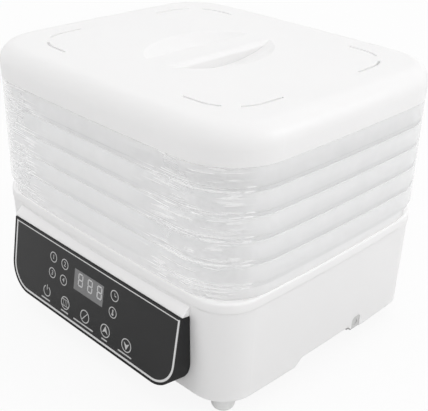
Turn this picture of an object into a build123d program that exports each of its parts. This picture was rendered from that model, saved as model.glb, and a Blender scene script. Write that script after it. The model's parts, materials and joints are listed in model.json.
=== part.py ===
from build123d import *
from math import cos, hypot, radians, sin, sqrt
import os

# A square food dehydrator: a fan base with a sloping touch panel, five clear trays and a vented lid.
# Millimetres, +Z up, the panel faces -Y, the floor is z = 0 and the origin is the box's bottom centre.

# Plan shape of the lid and trays
width = 312.0
depth = 266.6
side_bow = 3.0
corner_radius = 51.3

# Heights from the floor up
foot_height = 15.0
base_height = 92.0
tray_pitch = 19.4
tray_count = 5
lid_height = 27.9

# Trays
wall_inset = 0.4
tray_wall = 2.0
rim_width = 4.1
rim_height = 3.0
rim_round = 0.8
groove_inset = 1.8
groove_height = 4.0
groove_slope = 1.2
nest_clearance = 0.5
skirt_wall = 1.8
skirt_depth = 11.1
floor_thickness = 2.2
floor_foot = 2.0
grid_slot_length = 36.0
grid_slot_width = 8.0
grid_bar = 4.0
grid_margin = 5.0

# Lid
lid_wall = 2.6
lid_edge_radius = 15.5
lid_ledge = 3.0
lid_skirt_depth = 8.0
vent_inset = 34.4
vent_corner_radius = 35.0
vent_width = 2.2
vent_run_x = 85.0
vent_run_y = 88.3
vent_gap = 13.4
grip_half_width = 48.0
grip_half_length = 62.0
grip_depth = 12.0
grip_rise = 20.0
grip_bar_width = 31.0
grip_bar_round = 4.0

# Base shell
base_inset = 4.4
base_taper = 2.4
base_corner_radius = 37.8
base_wall = 2.6
deck_height = 9.5
deck_step = 0.6
deck_groove_round = 1.2
deck_round = 2.0
deck_plate = 3.0
collar_height = 5.0
collar_wall = 2.0
lip_depth = 4.0
lip_wall = 2.0
shell_clearance = 0.3
arch_rise = 6.5
arch_length = 78.0
arch_y = -2.5
arch_run = 8.0
arch_round = 6.0
cover_thickness = 2.5
cover_recess = 7.0
cover_ledge_width = 4.0
cover_ledge_height = 2.0
boss_radius = 4.5
boss_inset_x = 38.0
boss_inset_y = 67.3

# Air grilles over and under the fan
grille_inner = (14.0, 30.0, 14)
grille_outer = (43.0, 57.0, 28)
grille_slot_width = 3.5

# Feet
foot_radius = 9.6
foot_round = 4.5
foot_inset_x = 27.2
foot_inset_y = 28.3
foot_stem_radius = 3.0

# Screws
screw_radius = 1.5
screw_head_radius = 3.0
screw_head_height = 2.2
thread_clearance = 0.05
screw_bite = 9.0

# Console with the touch panel
panel_slope = 8.9
panel_height = 68.8
console_side = 44.1
console_drop = 18.7
console_proud = 5.2
console_reach = 30.0
console_lower_radius = 26.0
console_upper_radius = 2.0
console_wall = 2.4
console_gap = 0.2
brow_rise = 7.6
panel_sink = 0.3
panel_thickness = 1.2
panel_border = 1.4
panel_clearance = 0.15
console_screw_inset = 7.9
console_screw_upper = 14.0
console_screw_lower = 44.0
console_pad_radius = 5.0
console_boss_radius = 4.0
console_pad_inset = 12.0

# Control board behind the panel
board_side = 16.9
board_height = 50.0
board_thickness = 1.6
board_drop = 34.0
board_screw_margin = 6.0
board_boss_radius = 3.6
window_margin = 3.0
display_width = 37.6
display_height = 19.0
display_depth = 8.0
display_drop = 24.4
display_x = -1.0
display_gap = 0.4
button_pitch = 27.7
button_x = -1.9
button_drop = 52.8
button_count = 5
foam_radius = 5.0
program_x = (-51.0, -34.6)
lamp_x = 33.0
lamp_drops = (17.1, 32.4)
led_radius = 1.5
led_gap = 0.3
hole_clearance = 0.6

# Motor, shaft and fan on the centre line
fan_gap = 4.2
standoff_radius = 4.0
standoff_spread = 26.0
bracket_thickness = 2.0
bracket_arm_width = 16.0
bracket_hub_radius = 25.0
bracket_hole_radius = 6.0
motor_radius = 23.0
motor_height = 28.0
motor_wall = 1.2
motor_cap_thickness = 2.0
bearing_radius = 4.5
bearing_length = 6.0
bearing_boss_radius = 7.0
stator_inner_radius = 12.0
stator_length = 14.0
stator_clearance = 0.2
rotor_gap = 0.5
shaft_radius = 2.0
shaft_running_gap = 0.03
shaft_end_gap = 0.5
shaft_free_length = 16.0
hub_radius = 11.0
hub_height = 12.0
hub_gap = 4.0
blade_count = 7
blade_reach = 52.0
blade_root = 8.0
blade_chord = 26.0
blade_thickness = 1.8
blade_pitch = 32.0

# Air duct and heater round the fan
duct_radius = 60.0
duct_wall = 1.0
duct_flange = 8.0
duct_screw_count = 3
heater_radius = 44.0
heater_tube_radius = 3.2
heater_drop = 7.0
heater_leg_spread = 9.0
heater_bend_radius = 8.0
heater_leg_reach = 12.0
bushing_radius = 5.5
bushing_flange_radius = 6.6
bushing_flange = 2.0
bracket_shelf_width = 10.0
bracket_shelf_thickness = 1.5
bracket_shelf_gap = 0.1
bracket_tab_height = 9.0
bracket_reach = 22.0
heater_bracket_angles = (-30.0, 210.0, 270.0)
cutout_radius = 8.0
cutout_height = 8.0
sensor_radius = 3.0
sensor_height = 9.0
probe_offset = 20.0

# Power board and its parts
power_board_side = 18.0
power_board_width = 60.0
power_board_length = 104.0
power_board_lift = 7.5
power_screw_margin = 4.0
relay_size = (15.0, 19.0, 15.5)
relay_place = (43.0, -5.0)
supply_size = (25.0, 32.0, 22.0)
supply_place = (19.0, -16.0)
choke_size = (16.0, 20.0, 18.0)
choke_place = (43.0, 18.0)
sink_size = (3.0, 28.0, 26.0)
sink_place = (10.0, 19.0)
capacitor_radius = 8.0
capacitor_height = 22.0
capacitor_place = (24.0, 19.0)
terminal_size = (11.0, 22.0, 12.0)
terminal_place = (43.0, -31.0)

# Cord gland in a notch at the right wall's lower edge
gland_y = 40.2
gland_width = 11.5
gland_height = 13.0
gland_round = 4.0
gland_edge_round = 0.8
gland_sink = 0.6
gland_depth = 4.4
gland_lip = 2.0
gland_flange = 3.0
gland_dimple_radius = 2.8
gland_dimple = 0.6

# Levels and insets that follow from the sizes above
shoulder = foot_height + base_height
first_seat = shoulder + skirt_depth
lid_seat = first_seat + tray_count * tray_pitch
lid_top = lid_seat + lid_height
skirt_inset = wall_inset + rim_width + nest_clearance
skirt_inside = skirt_inset + skirt_wall
deck_bottom = shoulder - deck_height
plate_top = shoulder
plate_bottom = plate_top - deck_plate
cover_bottom = foot_height + cover_recess
cover_top = cover_bottom + cover_thickness
housing_inset = base_inset + deck_step
housing_lower_inset = base_inset + base_taper
vent_start_x = width / 2 - vent_run_x
vent_start_y = depth / 2 - vent_run_y
boss_x = width / 2 - boss_inset_x
boss_y = depth / 2 - boss_inset_y
foot_x = width / 2 - foot_inset_x
foot_y = depth / 2 - foot_inset_y
power_board_x = width / 2 - power_board_side - power_board_width
console_width = width - 2 * console_side
console_screw_x = console_width / 2 - console_screw_inset
board_width = console_width - 2 * board_side

# The fan hangs below the heater, so the motor's stand-offs reach from the cover up to its bracket
heater_z = plate_bottom - heater_drop
blade_turn = radians(blade_pitch)
blade_rise = (blade_chord * sin(blade_turn) + blade_thickness * cos(blade_turn)) / 2
fan_middle = heater_z - heater_tube_radius - fan_gap - blade_rise
cap_top = fan_middle - hub_height / 2 - hub_gap
motor_top = cap_top - motor_cap_thickness
motor_low = motor_top - motor_height
bracket_low = motor_low - bracket_thickness

# The right wall's outer face where the gland sits, allowing for its lean and its bow
gland_z = foot_height + gland_height / 2
gland_lean = (housing_lower_inset - housing_inset) * (gland_height / 2) / (deck_bottom - foot_height)
gland_wall = width / 2 - housing_lower_inset + gland_lean - side_bow * (gland_y / (depth / 2)) ** 2
gland_face = gland_wall - gland_sink
gland_back = gland_wall - base_wall - gland_depth
flange_face = gland_wall - base_wall - 2 * shell_clearance
flange_back = flange_face - gland_flange

# The console's face: local x to the right, local y up the slope, local z outwards
console_front = depth / 2 - base_inset + console_proud
console_top = shoulder - console_drop
slope = radians(panel_slope)
face = Plane((0, -console_front, console_top), x_dir=(1, 0, 0), z_dir=(0, -cos(slope), sin(slope)))
front_reach = console_front + panel_height * sin(slope)
centre_shift = (front_reach - depth / 2) / 2

parts = {}


# Shared shapes
def outline(inset, radius=corner_radius):
    """The bowed, rounded plan shape, set in from the lid's edge all round."""
    half_x = width / 2 - inset
    half_y = depth / 2 - inset
    edge_x = half_x - side_bow
    edge_y = half_y - side_bow
    right = ThreePointArc((edge_x, -edge_y), (half_x, 0), (edge_x, edge_y))
    back = ThreePointArc((edge_x, edge_y), (0, half_y), (-edge_x, edge_y))
    left = ThreePointArc((-edge_x, edge_y), (-half_x, 0), (-edge_x, -edge_y))
    front = ThreePointArc((-edge_x, -edge_y), (0, -half_y), (edge_x, -edge_y))
    plan = make_face(Curve() + [right, back, left, front])
    return fillet(plan.vertices(), radius - inset)


def slab(inset, low, high, radius=corner_radius):
    """The plan shape raised from one level to another."""
    return Pos(0, 0, low) * extrude(outline(inset, radius), high - low)


def flare(low_inset, low, high_inset, high, radius=corner_radius):
    """The plan shape growing or shrinking between two levels."""
    lower = Pos(0, 0, low) * outline(low_inset, radius)
    upper = Pos(0, 0, high) * outline(high_inset, radius)
    return loft(Sketch() + [lower, upper], ruled=True)


def post(x, y, radius, low, high):
    """An upright cylinder between two levels."""
    return Pos(x, y, (low + high) / 2) * Cylinder(radius, high - low)


def ring(outer, inner, low, high):
    """An upright tube on the centre line."""
    return post(0, 0, outer, low, high) - post(0, 0, inner, low, high)


def corners(x, y):
    """The four points at plus and minus x and y."""
    return [(sx * x, sy * y) for sx in (1, -1) for sy in (1, -1)]


def screw(length, radius=screw_radius):
    """A pan-head screw with its head on top of z = 0 and its shank below."""
    shank = post(0, 0, radius, -length, 0)
    head = post(0, 0, radius * screw_head_radius / screw_radius, 0, screw_head_height)
    head = fillet(head.edges().group_by(Axis.Z)[-1], screw_head_height / 3)
    drive = Pos(0, 0, screw_head_height) * Box(radius * 2, radius / 2, screw_head_height / 2)
    return head + shank - drive


def group(solids):
    """Separate solids that share one node."""
    return Compound([piece for solid in solids for piece in solid.solids()])


def top_outer_edges(solid):
    """The edges round a solid's highest face."""
    return solid.faces().sort_by(Axis.Z)[-1].edges()


def grille(low, high):
    """Two rings of radial slots, to be cut from a plate between two levels."""
    cuts = []
    for inner, outer, count in (grille_inner, grille_outer):
        slot = SlotOverall(outer - inner, grille_slot_width)
        blank = Pos((inner + outer) / 2, 0, low) * extrude(slot, high - low)
        cuts += [Rot(0, 0, 360 * i / count) * blank for i in range(count)]
    return cuts


def base_block(gap):
    """The filled outside of the housing, grown by a gap all round."""
    lower = housing_lower_inset - gap
    upper = housing_inset - gap
    return flare(lower, foot_height, upper, deck_bottom, base_corner_radius)


def gland_block(grow, back, front):
    """The gland's upright outline, grown at its sides and top, between two distances across the wall."""
    high = gland_height + grow
    profile = Pos(gland_y, foot_height + high / 2) * Rectangle(gland_width + 2 * grow, high)
    profile = fillet(profile.vertices().group_by(Axis.Y)[-1], gland_round)
    return Pos(back, 0, 0) * extrude(Plane.YZ * profile, front - back)


# Lid: a rounded shell with corner vents and a dished grip
def grip_dish(grow):
    """The hollow of the grip: the low cap of a stretched ball, larger by a wall where asked."""
    depth_below = grip_rise + grip_depth
    spread = sqrt(1 - (grip_rise / depth_below) ** 2)
    half_x = grip_half_width / spread + grow
    half_y = grip_half_length / spread + grow
    ball = scale(Sphere(1), by=(half_x, half_y, depth_below + grow))
    return Pos(0, 0, lid_top + grip_rise) * ball


def vent_slots():
    """Pairs of slots that follow the lid's corners, with a gap at each corner's middle."""
    low = lid_top - lid_edge_radius
    high = lid_top + lid_wall
    half = vent_width / 2
    radius = vent_inset + vent_corner_radius
    band = slab(vent_inset - half, low, high, radius) - slab(vent_inset + half, low, high, radius)
    slots = []
    for x, y in corners(width / 2, depth / 2):
        side_x = 1 if x > 0 else -1
        side_y = 1 if y > 0 else -1
        block = Box(abs(x) - vent_start_x, abs(y) - vent_start_y, 2 * lid_height)
        block = Pos((x + side_x * vent_start_x) / 2, (y + side_y * vent_start_y) / 2, lid_top) * block
        inner = corner_radius + side_bow
        bar = Box(2 * inner, vent_gap, 2 * lid_height)
        bar = Pos(x - side_x * inner, y - side_y * inner, lid_top) * Rot(0, 0, 45 * side_x * side_y) * bar
        slots.append((band & block) - bar)
    return slots


def make_lid():
    shell = slab(0, lid_seat, lid_top)
    shell = fillet(top_outer_edges(shell), lid_edge_radius)
    hollow = slab(lid_wall, lid_seat, lid_top - lid_wall)
    hollow = fillet(top_outer_edges(hollow), lid_edge_radius - lid_wall)
    ledge_top = lid_seat + lid_ledge
    ledge = slab(lid_wall / 2, lid_seat, ledge_top) - slab(skirt_inside, lid_seat, ledge_top)
    skirt_low = lid_seat - lid_skirt_depth
    skirt = slab(skirt_inset, skirt_low, ledge_top) - slab(skirt_inside, skirt_low, ledge_top)
    lump = grip_dish(lid_wall) & slab(lid_edge_radius, lid_seat, lid_top)
    bar = Pos(0, 0, lid_top - lid_height / 2) * Box(grip_bar_width, depth, lid_height)
    bar = fillet(bar.edges().filter_by(Axis.Y).group_by(Axis.Z)[-1], grip_bar_round)
    under_width = grip_bar_width - 2 * lid_wall
    under_height = lid_height - lid_wall
    under = Pos(0, 0, lid_seat + under_height / 2) * Box(under_width, 2 * grip_half_length, under_height)
    lid = shell - hollow + ledge + skirt + lump
    lid = lid - (grip_dish(0) - bar) - under
    for slots in vent_slots():
        lid = lid - slots
    return lid


parts["lid"] = make_lid()


# Trays: a stepped wall, an inset skirt that nests, and a slotted floor
def in_plan(x, y, inset):
    """True where a point lies inside the plan shape, its sides taken straight."""
    half_x = width / 2 - side_bow - inset
    half_y = depth / 2 - side_bow - inset
    radius = corner_radius - inset
    over_x = max(abs(x) - half_x + radius, 0)
    over_y = max(abs(y) - half_y + radius, 0)
    return hypot(over_x, over_y) <= radius


def grid_slots():
    """The floor's slots: rows and columns that fit the plan with a margin."""
    step_x = grid_slot_length + grid_bar
    step_y = grid_slot_width + grid_bar
    columns = int(width / 2 / step_x) + 1
    rows = int(depth / 2 / step_y) + 1
    half_x = grid_slot_length / 2
    half_y = grid_slot_width / 2
    keep = skirt_inside + grid_margin
    places = []
    for i in range(-columns, columns + 1):
        for j in range(-rows, rows + 1):
            x = i * step_x
            y = j * step_y
            if in_plan(abs(x) + half_x, abs(y) + half_y, keep):
                places.append(Pos(x, y) * Rectangle(grid_slot_length, grid_slot_width))
    return places


def make_tray():
    """One tray with its seat, the face that rests on the tray below, at z = 0."""
    step_low = groove_height - groove_slope
    wall = slab(wall_inset, groove_height, tray_pitch)
    wall = fillet(top_outer_edges(wall), rim_round)
    body = wall + flare(groove_inset, step_low, wall_inset, groove_height)
    body = body + slab(groove_inset, 0, step_low) + slab(skirt_inset, -skirt_depth, 0)
    wall_inside = wall_inset + tray_wall
    rim_inside = wall_inset + rim_width
    foot_inside = wall_inside + floor_foot
    foot_top = groove_height + floor_foot
    rim_low = tray_pitch - rim_height
    body = body - slab(skirt_inside, -skirt_depth, 0)
    body = body - flare(foot_inside, floor_thickness, wall_inside, foot_top)
    body = body - slab(wall_inside, foot_top, rim_low)
    body = body - slab(rim_inside, rim_low, tray_pitch)
    holes = extrude(Sketch() + grid_slots(), floor_thickness)
    return body - holes


tray = make_tray()
for number in range(tray_count):
    parts[f"tray_{number + 1}"] = Pos(0, 0, first_seat + number * tray_pitch) * tray


# Base deck: the top of the base, with the collar the first tray stands round and the warm-air grille
def make_deck():
    deck = slab(base_inset, deck_bottom, shoulder, base_corner_radius)
    deck = fillet(top_outer_edges(deck), deck_round)
    deck = fillet(deck.faces().sort_by(Axis.Z)[0].edges(), deck_groove_round)
    deck_inside = housing_inset + base_wall + shell_clearance
    deck = deck - slab(deck_inside, deck_bottom, plate_bottom, base_corner_radius)
    lip_low = deck_bottom - lip_depth
    lip = slab(deck_inside, lip_low, plate_bottom, base_corner_radius)
    lip = lip - slab(deck_inside + lip_wall, lip_low, plate_bottom, base_corner_radius)
    collar_out = skirt_inside + nest_clearance
    collar_top = shoulder + collar_height
    collar = slab(collar_out, shoulder, collar_top) - slab(collar_out + collar_wall, shoulder, collar_top)
    deck = deck + lip + collar
    for x, y in corners(boss_x, boss_y):
        deck = deck + post(x, y, boss_radius, cover_top, plate_bottom)
    for x, y in corners(boss_x, boss_y):
        deck = deck - post(x, y, screw_radius + thread_clearance, cover_top, cover_top + screw_bite)
    return deck - grille(plate_bottom, plate_top)


parts["base_deck"] = make_deck()


# Base housing: the tapered side walls, with an arch each side, a brow and a window for the console
def arch_cut():
    """The raised stretch of the side walls' lower edge, with soft ends, cut right across."""
    half = arch_length / 2
    top = foot_height + arch_rise
    low = foot_height - arch_rise
    foot = half + arch_run
    crown = half - arch_run
    profile = make_face(Polyline((-foot, low), (-crown, top), (crown, top), (foot, low), close=True))
    profile = fillet(profile.vertices().group_by(Axis.Y)[-1], arch_round)
    return Pos(0, arch_y, 0) * extrude(Plane.YZ * profile, width / 2, both=True)


def wall_axis(x, drop, y_far, y_near, radius):
    """A cylinder along Y at one of the console's screws."""
    z = console_top - drop
    return Pos(x, -(y_far + y_near) / 2, z) * Rot(90, 0, 0) * Cylinder(radius, y_far - y_near)


def console_screw_places():
    """Each console screw's x and its drop below the console's top."""
    return [(s * console_screw_x, d) for s in (1, -1) for d in (console_screw_upper, console_screw_lower)]


def brow():
    """The white ledge that slopes from the wall down to the panel's top edge."""
    wall_y = -(depth / 2 - base_inset - base_wall)
    edge_y = -console_front
    edge_z = console_top + console_gap
    back_z = edge_z - (wall_y - edge_y) * sin(slope) / cos(slope)
    nose = console_upper_radius / 2
    top_z = edge_z + brow_rise
    side = Polyline((edge_y, edge_z), (edge_y, edge_z + nose), (wall_y, top_z), (wall_y, back_z), close=True)
    solid = extrude(Plane.YZ * make_face(side), console_width / 2, both=True)
    ends = solid.faces().sort_by(Axis.X)
    rim = ends[0].edges() + ends[-1].edges()
    return fillet(rim.group_by(Axis.Y)[0], nose / 2) - base_block(-base_wall / 2)


def make_housing():
    inner_low = housing_lower_inset + base_wall
    inner_high = housing_inset + base_wall
    inside = flare(inner_low, foot_height, inner_high, deck_bottom, base_corner_radius)
    shell = base_block(0) - inside
    ledge_top = cover_top + cover_ledge_height
    ledge_inset = inner_low + cover_ledge_width
    ledge = slab(housing_lower_inset + base_wall / 2, cover_top, ledge_top, base_corner_radius)
    shell = shell + (ledge - slab(ledge_inset, cover_top, ledge_top, base_corner_radius))
    shell = shell - arch_cut() + brow()
    pad_near = depth / 2 - base_inset - console_pad_inset
    for x, drop in console_screw_places():
        shell = shell + (wall_axis(x, drop, depth, pad_near, console_pad_radius) & base_block(0))
    for x, drop in console_screw_places():
        shell = shell - wall_axis(x, drop, depth / 2, pad_near, screw_radius + hole_clearance)
    opening_x = board_width + 2 * window_margin
    opening_y = board_height + 2 * window_margin
    opening = face * Pos(0, -board_drop, -console_reach / 2) * Box(opening_x, opening_y, console_reach)
    shell = shell - opening
    shell = shell - gland_block(panel_clearance, gland_back - shell_clearance, width / 2)
    return shell - gland_block(gland_lip + shell_clearance, flange_back - shell_clearance, flange_face)


parts["base_housing"] = make_housing()


# Bottom cover: a recessed plate with the air inlet, stand-offs for the motor and the power board
def power_board_screws():
    """The four fixing points of the power board."""
    near_x = power_board_x + power_screw_margin
    far_x = power_board_x + power_board_width - power_screw_margin
    end_y = power_board_length / 2 - power_screw_margin
    return [(x, s * end_y) for x in (near_x, far_x) for s in (1, -1)]


def duct_screw_places():
    """The fixing points of the duct's flange."""
    middle = duct_radius + duct_wall + duct_flange / 2
    turns = [radians(360 * i / duct_screw_count) for i in range(duct_screw_count)]
    return [(-middle * cos(a), -middle * sin(a)) for a in turns]


def make_cover():
    edge = housing_lower_inset + base_wall + shell_clearance
    cover = slab(edge, cover_bottom, cover_top, base_corner_radius)
    motor_seat = bracket_low
    board_seat = cover_top + power_board_lift
    for x, y in corners(standoff_spread, standoff_spread):
        cover = cover + post(x, y, standoff_radius, cover_top, motor_seat)
    for x, y in power_board_screws():
        cover = cover + post(x, y, power_screw_margin, cover_top, board_seat)
    hole = screw_radius + thread_clearance
    for x, y in corners(standoff_spread, standoff_spread):
        cover = cover - post(x, y, hole, motor_seat - screw_bite, motor_seat)
    for x, y in power_board_screws():
        cover = cover - post(x, y, hole, board_seat - power_board_lift, board_seat)
    for x, y in corners(boss_x, boss_y):
        cover = cover - post(x, y, screw_radius + hole_clearance, cover_bottom, cover_top)
    for x, y in corners(foot_x, foot_y):
        cover = cover - post(x, y, foot_stem_radius + panel_clearance, cover_bottom, cover_top)
    for x, y in duct_screw_places():
        cover = cover - post(x, y, hole, cover_bottom, cover_top)
    cover = cover - gland_block(gland_lip + shell_clearance, gland_back - shell_clearance, width / 2)
    return cover - grille(cover_bottom, cover_top)


parts["bottom_cover"] = make_cover()


# Feet: rounded posts with a stem through the cover
def make_foot():
    foot = post(0, 0, foot_radius, 0, cover_bottom)
    foot = fillet(foot.edges().group_by(Axis.Z)[0], foot_round)
    return foot + post(0, 0, foot_stem_radius, cover_bottom, cover_top)


parts["feet"] = group(Pos(x, y) * make_foot() for x, y in corners(foot_x, foot_y))


# Screws that hold the cover, the bracket, the boards, the duct and the console
cover_screw = Rot(180, 0, 0) * screw(cover_thickness + screw_bite)
parts["cover_screws"] = group(Pos(x, y, cover_bottom) * cover_screw for x, y in corners(boss_x, boss_y))

bracket_top = motor_low
bracket_screw = screw(bracket_thickness + screw_bite)
bracket_points = corners(standoff_spread, standoff_spread)
parts["bracket_screws"] = group(Pos(x, y, bracket_top) * bracket_screw for x, y in bracket_points)

duct_screw = screw(duct_wall + cover_thickness)
duct_points = duct_screw_places()
parts["duct_screws"] = group(Pos(x, y, cover_top + duct_wall) * duct_screw for x, y in duct_points)

power_low = cover_top + power_board_lift
power_top = power_low + board_thickness
power_screw = screw(board_thickness + power_board_lift)
parts["power_board_screws"] = group(Pos(x, y, power_top) * power_screw for x, y in power_board_screws())


# Motor: bracket, can, cap, bearings, stator, rotor and shaft on the centre line
def make_bracket():
    plate = post(0, 0, bracket_hub_radius, bracket_low, bracket_top)
    arm_length = 2 * (standoff_spread * sqrt(2) + standoff_radius)
    arm = Pos(0, 0, (bracket_low + bracket_top) / 2) * Box(arm_length, bracket_arm_width, bracket_thickness)
    plate = plate + Rot(0, 0, 45) * arm + Rot(0, 0, -45) * arm
    plate = plate - post(0, 0, bracket_hole_radius, bracket_low, bracket_top)
    for x, y in corners(standoff_spread, standoff_spread):
        plate = plate - post(x, y, screw_radius + hole_clearance, bracket_low, bracket_top)
    return plate


parts["motor_bracket"] = make_bracket()

can_inside = motor_radius - motor_wall
can = ring(motor_radius, can_inside, motor_low, motor_top)
can = can + ring(motor_radius, bearing_radius, motor_low, motor_low + motor_wall)
parts["motor_can"] = can + ring(bearing_boss_radius, bearing_radius, motor_low, motor_low + bearing_length)

cap = ring(motor_radius, bearing_radius, motor_top, cap_top)
boss_low = cap_top - bearing_length
parts["motor_cap"] = cap + ring(bearing_boss_radius, bearing_radius, boss_low, motor_top)

bearing_bore = shaft_radius + shaft_running_gap
lower_bearing = ring(bearing_radius, bearing_bore, motor_low, motor_low + bearing_length)
upper_bearing = ring(bearing_radius, bearing_bore, boss_low, cap_top)
parts["motor_bearings"] = group([lower_bearing, upper_bearing])

stator_middle = (motor_low + motor_wall + motor_top) / 2
stator_low = stator_middle - stator_length / 2
stator_high = stator_middle + stator_length / 2
stator_radius = can_inside - stator_clearance
parts["motor_stator"] = ring(stator_radius, stator_inner_radius, stator_low, stator_high)
parts["motor_rotor"] = ring(stator_inner_radius - rotor_gap, shaft_radius, stator_low, stator_high)

shaft_low = motor_low + shaft_end_gap
shaft_top = cap_top + shaft_free_length
parts["motor_shaft"] = post(0, 0, shaft_radius, shaft_low, shaft_top)


# Fan: a hub with pitched blades, pressed on the shaft
def make_fan():
    hub_low = cap_top + hub_gap
    hub_high = hub_low + hub_height
    hub = ring(hub_radius, shaft_radius, hub_low, hub_high)
    hub = fillet(hub.edges().group_by(Axis.Z)[-1].sort_by(SortBy.RADIUS)[-1], hub_gap / 2)
    length = blade_reach - blade_root
    middle = Pos(blade_root + length / 2, 0, (hub_low + hub_high) / 2)
    blade = middle * Rot(blade_pitch, 0, 0) * Box(length, blade_chord, blade_thickness)
    tip = blade.edges().group_by(Axis.X)[-1].group_by(SortBy.LENGTH)[0]
    blade = fillet(tip, blade_thickness * 3)
    blade = blade - post(0, 0, hub_radius / 2, hub_low - blade_chord, hub_high + blade_chord)
    for i in range(blade_count):
        hub = hub + Rot(0, 0, 360 * i / blade_count) * blade
    return hub


parts["fan_impeller"] = make_fan()

# Air duct: a sheet-metal tube from the cover to the deck, with holes for the heater's legs
duct_outer = duct_radius + duct_wall


def leg_hole(side, radius, near, far):
    """A cylinder along Y where one heater leg leaves the duct."""
    middle = Pos(side * heater_leg_spread, (near + far) / 2, heater_z)
    return middle * Rot(90, 0, 0) * Cylinder(radius, far - near)


def make_duct():
    duct = ring(duct_outer, duct_radius, cover_top, plate_bottom)
    duct = duct + ring(duct_outer + duct_flange, duct_radius, cover_top, cover_top + duct_wall)
    for x, y in duct_screw_places():
        duct = duct - post(x, y, screw_radius + hole_clearance, cover_top, cover_top + duct_wall)
    for side in (1, -1):
        duct = duct - leg_hole(side, bushing_radius + shell_clearance, 0, 2 * duct_outer)
    return duct


parts["air_duct"] = make_duct()


# Heater: an open ring of sheathed tube whose two legs leave the duct at the back
def make_heater():
    leg = heater_leg_spread
    bend = heater_bend_radius
    tangent = heater_radius + bend
    bend_y = sqrt(tangent ** 2 - (leg + bend) ** 2)
    meet = heater_radius / tangent
    meet_x = (leg + bend) * meet
    meet_y = bend_y * meet
    end_y = duct_outer + heater_leg_reach
    legs = []
    for side in (1, -1):
        straight = Line((side * leg, end_y), (side * leg, bend_y))
        curve = TangentArc((side * leg, bend_y), (side * meet_x, meet_y), tangent=(0, -1))
        legs.append((straight, curve))
    loop = ThreePointArc((meet_x, meet_y), (0, -heater_radius), (-meet_x, meet_y))
    path = Curve() + [legs[0][0], legs[0][1], loop, legs[1][1], legs[1][0]]
    section = Plane((leg, end_y, 0), x_dir=(1, 0, 0), z_dir=(0, -1, 0)) * Circle(heater_tube_radius)
    return Pos(0, 0, heater_z) * sweep(section, path=path)


parts["heating_element"] = make_heater()


def make_bushing(side):
    """A stepped ceramic sleeve round one heater leg, its flange against the duct."""
    near = duct_radius - bushing_flange
    far = duct_outer + shell_clearance
    sleeve = leg_hole(side, bushing_radius, near, far)
    flange = leg_hole(side, bushing_flange_radius, far, far + bushing_flange)
    bore = leg_hole(side, heater_tube_radius + panel_clearance, near, far + bushing_flange)
    return sleeve + flange - bore


parts["heater_bushings"] = group(make_bushing(side) for side in (1, -1))


def make_heater_bracket(angle):
    """A small angle bracket that carries the heater's ring on the duct's wall."""
    shelf_top = heater_z - heater_tube_radius - bracket_shelf_gap
    shelf_low = shelf_top - bracket_shelf_thickness
    outer = sqrt(duct_radius ** 2 - (bracket_shelf_width / 2) ** 2) - bracket_shelf_gap
    shelf = Pos(outer - bracket_reach / 2, 0, (shelf_low + shelf_top) / 2)
    shelf = shelf * Box(bracket_reach, bracket_shelf_width, bracket_shelf_thickness)
    tab = Pos(outer - bracket_shelf_thickness / 2, 0, shelf_low + bracket_tab_height / 2)
    tab = tab * Box(bracket_shelf_thickness, bracket_shelf_width, bracket_tab_height)
    return Rot(0, 0, angle) * (shelf + tab)


parts["heater_brackets"] = group(make_heater_bracket(angle) for angle in heater_bracket_angles)

# Thermal cut-out and temperature sensor under the deck's grille
cutout = post(0, -probe_offset, cutout_radius, plate_bottom - cutout_height, plate_bottom)
parts["thermal_cutout"] = fillet(cutout.edges().group_by(Axis.Z)[0], cutout_radius / 6)
sensor = post(0, probe_offset, sensor_radius, plate_bottom - sensor_height, plate_bottom)
parts["temperature_sensor"] = fillet(sensor.edges().group_by(Axis.Z)[0], sensor_radius / 2)


# Power board on the right, with its parts standing on it
def on_board(place, size):
    """A block on the power board, placed from the middle of its inner edge."""
    return Pos(power_board_x + place[0], place[1], power_top + size[2] / 2) * Box(*size)


def make_power_board():
    middle_x = power_board_x + power_board_width / 2
    board = Pos(middle_x, 0, (power_low + power_top) / 2)
    board = board * Box(power_board_width, power_board_length, board_thickness)
    for x, y in power_board_screws():
        board = board - post(x, y, screw_radius + hole_clearance, power_low, power_top)
    return board


def make_power_parts():
    relay = on_board(relay_place, relay_size)
    supply = on_board(supply_place, supply_size)
    choke = on_board(choke_place, choke_size)
    sink = on_board(sink_place, sink_size)
    x = power_board_x + capacitor_place[0]
    capacitor = post(x, capacitor_place[1], capacitor_radius, power_top, power_top + capacitor_height)
    capacitor = fillet(capacitor.edges().group_by(Axis.Z)[-1], capacitor_radius / 8)
    return group([relay, supply, choke, sink, capacitor])


parts["power_board"] = make_power_board()
parts["power_board_parts"] = make_power_parts()
parts["terminal_block"] = on_board(terminal_place, terminal_size)


# Cord gland: a grey block in the wall's notch, held by a flange behind the wall, its dimple still closed
def make_gland():
    body = gland_block(0, gland_back, gland_face)
    body = fillet(body.faces().sort_by(Axis.X)[-1].edges(), gland_edge_round)
    flange = gland_block(gland_lip, flange_back, flange_face)
    dimple = Pos(gland_face, gland_y, gland_z) * Rot(0, 90, 0)
    return body + flange - dimple * Cylinder(gland_dimple_radius, 2 * gland_dimple)


parts["cord_gland"] = make_gland()


# Console: a black shell on the front wall, with a pocket for the panel
def panel_outline(inset):
    """The console's front shape on its sloping face: square above, well rounded below."""
    wide = console_width - 2 * inset
    tall = panel_height - 2 * inset
    plate = Pos(0, -panel_height / 2) * Rectangle(wide, tall)
    plate = fillet(plate.vertices().group_by(Axis.Y)[0], console_lower_radius - inset)
    return fillet(plate.vertices().group_by(Axis.Y)[-1], max(console_upper_radius - inset, panel_clearance))


def face_block(inset, near, far):
    """The front shape as a block between two depths behind the face."""
    return face * Pos(0, 0, -far) * extrude(panel_outline(inset), far - near)


def face_post(x, drop, radius, near, far):
    """A cylinder square to the face, between two depths behind it."""
    return face * Pos(x, -drop, -(near + far) / 2) * Cylinder(radius, far - near)


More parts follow.
